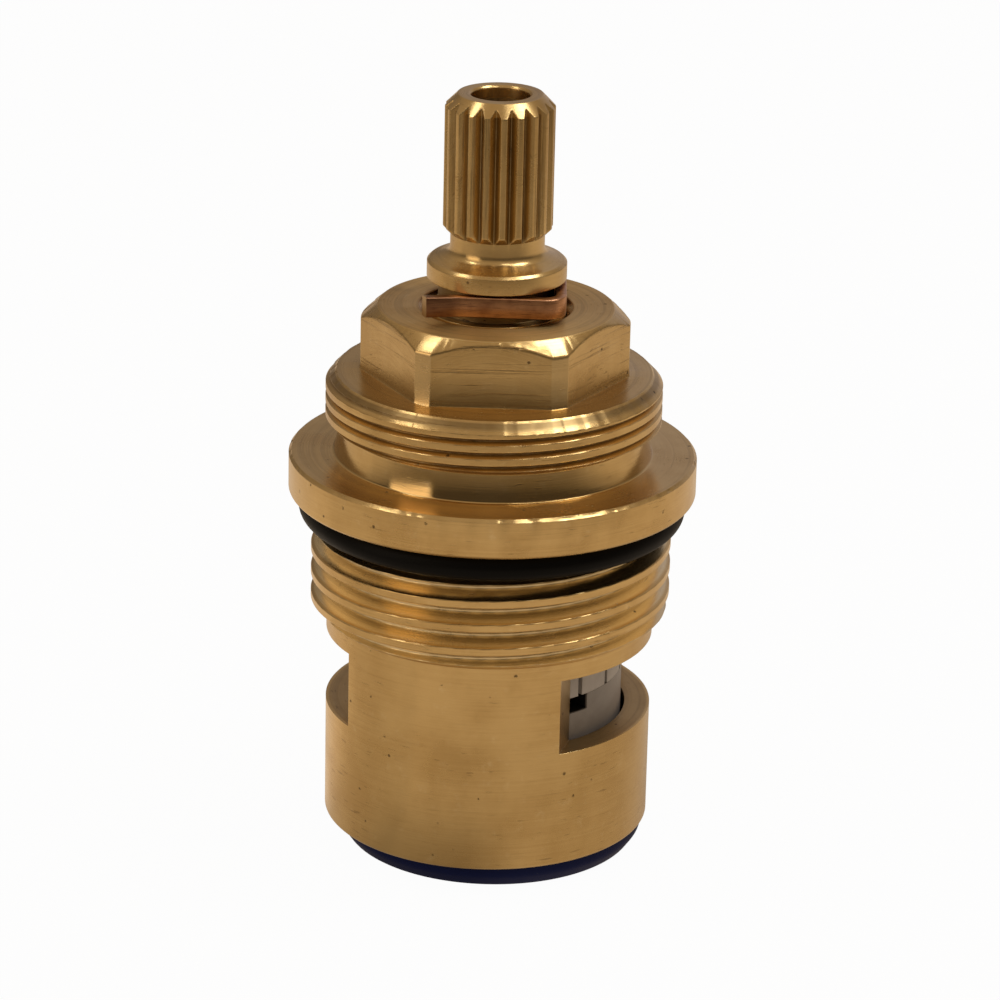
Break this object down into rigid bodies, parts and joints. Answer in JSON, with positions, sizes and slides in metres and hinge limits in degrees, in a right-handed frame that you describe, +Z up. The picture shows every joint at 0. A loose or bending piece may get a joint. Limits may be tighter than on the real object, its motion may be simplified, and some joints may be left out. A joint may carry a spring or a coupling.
{
  "type": "ceramic disc tap cartridge",
  "caption": "Quarter-turn brass tap cartridge: splined spindle, hexagon, flange with O-ring, valve thread and a windowed skirt around ceramic discs and a seat seal.",
  "frame": {"origin": "on the spindle axis, at the lower face of the seat seal", "axes": "+Z up the spindle towards the handle, +X and -X through the two water windows"},
  "size_m": [0.0298, 0.0298, 0.0568],
  "materials": {
    "body_brass": "turned and milled, satin",
    "spindle_brass": "turned, satin",
    "clip_bronze": "drawn phosphor bronze",
    "black_rubber": "greased rubber",
    "acetal": "moulded acetal",
    "ceramic": "lapped alumina",
    "blue_rubber": "moulded silicone rubber",
    "support_plastic": "moulded plastic"
  },
  "bodies": {
    "housing": {"bonnet_body": "body_brass", "thrust_washer": "acetal", "fixed_disc": "ceramic", "seat_seal": "blue_rubber", "seal_support_ring": "support_plastic", "flange_oring": "black_rubber"},
    "spindle_set": {"spindle": "spindle_brass", "retaining_clip": "clip_bronze", "spindle_oring_upper": "black_rubber", "spindle_oring_lower": "black_rubber", "silencer_ring": "acetal", "moving_disc": "ceramic"}
  },
  "joints": [
    {"name": "spindle_turn", "type": "hinge", "parent": "housing", "child": "spindle_set", "pos_m": [0, 0, 0.03], "axis": [0, 0, 1], "range_deg": [0, 90]}
  ]
}
